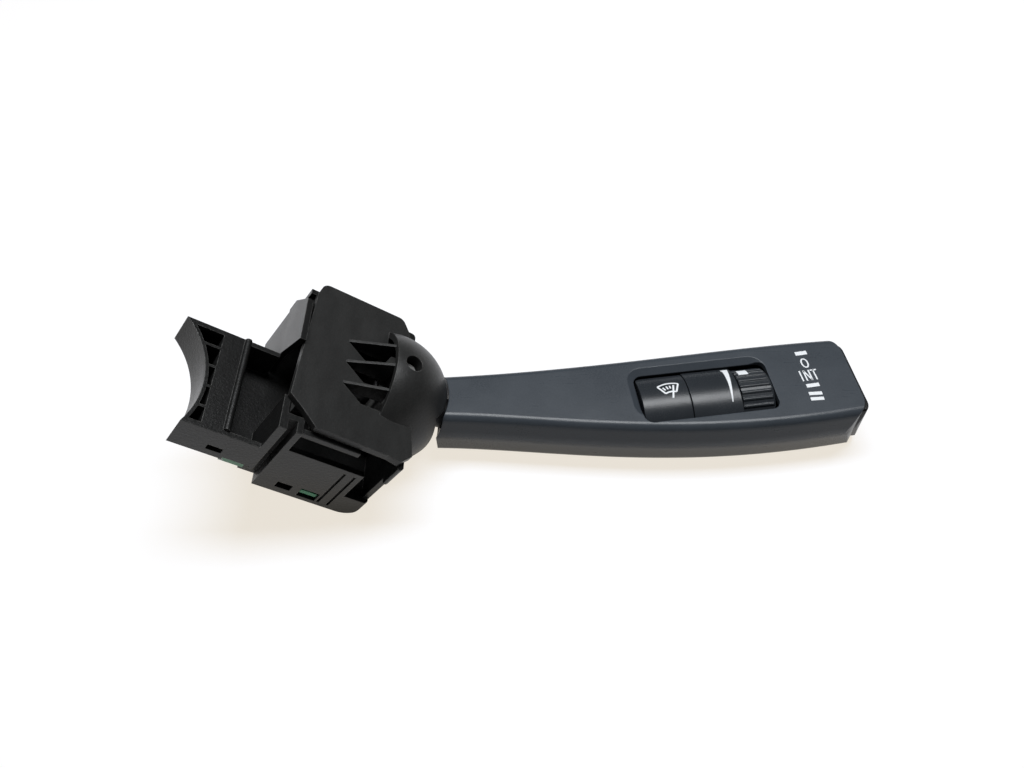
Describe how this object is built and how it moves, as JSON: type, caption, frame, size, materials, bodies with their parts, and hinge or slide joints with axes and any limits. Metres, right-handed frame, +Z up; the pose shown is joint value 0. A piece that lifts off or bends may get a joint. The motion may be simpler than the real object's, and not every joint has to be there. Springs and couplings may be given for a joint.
{
  "type": "combination stalk switch",
  "caption": "Steering column stalk switch: a canted bracket and switch housing with a domed gimbal and a curved lever carrying a button, a thumbwheel and an end rocker.",
  "frame": {"origin": "on the table, under the middle of the bounding box", "axes": "+X from the column bracket to the lever's tip, +Y towards the back, +Z up as the switch lies on a table on its foot and its lever; the column axis of the housing is canted 35.3 degrees from +Z towards +X"},
  "size_m": [0.1872, 0.05, 0.0455],
  "materials": {
    "housing_plastic": "grained black glass-filled nylon",
    "cover_plastic": "black moulded plastic",
    "lever_plastic": "satin charcoal",
    "control_plastic": "satin charcoal, finer grain",
    "stem_plastic": "smooth black",
    "slide_plastic": "smooth natural acetal",
    "switch_plastic": "smooth black",
    "board_green": "solder mask over glass laminate",
    "lock_green": "smooth green polyester",
    "contact_brass": "tinned brass",
    "screw_steel": "zinc-plated steel"
  },
  "bodies": {
    "housing": {"base_housing": "housing_plastic", "top_cover": "cover_plastic", "bottom_cover": "cover_plastic", "circuit_board": "board_green", "connector_pins": "contact_brass", "cover_screws": "screw_steel", "connector_lock": "lock_green", "detent_cam": "slide_plastic"},
    "gimbal": {"gimbal_yoke": "slide_plastic", "swivel_pins": "screw_steel"},
    "slider": {"contact_slider": "slide_plastic", "contact_brushes": "contact_brass"},
    "lever": {"lever_stem": "stem_plastic", "tilt_pin": "screw_steel", "detent_spring": "screw_steel", "ball_collar": "stem_plastic", "lever_upper_shell": "lever_plastic", "lever_lower_shell": "lever_plastic", "control_bezel": "control_plastic", "lever_board": "board_green", "button_switch": "switch_plastic", "wheel_axle": "screw_steel", "rocker_pin": "screw_steel"},
    "plunger": {"detent_plunger": "slide_plastic"},
    "button": {"sensor_button": "control_plastic"},
    "wheel": {"thumbwheel": "control_plastic"},
    "rocker": {"end_rocker": "cover_plastic"}
  },
  "joints": [
    {"name": "speed_select", "type": "hinge", "parent": "housing", "child": "gimbal", "pos_m": [-0.04151, 0.00232, 0.01602], "axis": [0.5779, 0, 0.8161], "range_deg": [-21, 7]},
    {"name": "wash_pull", "type": "hinge", "parent": "gimbal", "child": "lever", "pos_m": [-0.04151, 0.00232, 0.01602], "axis": [0, -1, 0], "range_deg": [0, 8], "stiffness_Nm_per_rad": 0.8, "springref_deg": -20.05},
    {"name": "button_press", "type": "slide", "parent": "lever", "child": "button", "axis": [0, 0, -1], "range_m": [0, 0.001], "stiffness_N_per_m": 1000, "springref_m": -0.001},
    {"name": "wheel_turn", "type": "hinge", "parent": "lever", "child": "wheel", "pos_m": [0.05802, 0.0058, 0.00802], "axis": [0.9903, 0.1392, 0], "range_deg": [0, 50]},
    {"name": "rocker_tilt", "type": "hinge", "parent": "lever", "child": "rocker", "pos_m": [0.08514, 0.01013, 0.00422], "axis": [0, 0, 1], "range_deg": [-3.5, 3.5], "stiffness_Nm_per_rad": 0.1},
    {"name": "plunger_slide", "type": "slide", "parent": "lever", "child": "plunger", "axis": [0.9184, 0, -0.3955], "range_m": [0, 0.0009], "stiffness_N_per_m": 800, "springref_m": -0.002},
    {"name": "contact_slide", "type": "slide", "parent": "housing", "child": "slider", "axis": [0, 1, 0], "range_m": [-0.0015, 0.0042]}
  ],
  "couplings": [
    {"joint": "contact_slide", "follows": "speed_select", "m_per_rad": -0.011}
  ]
}
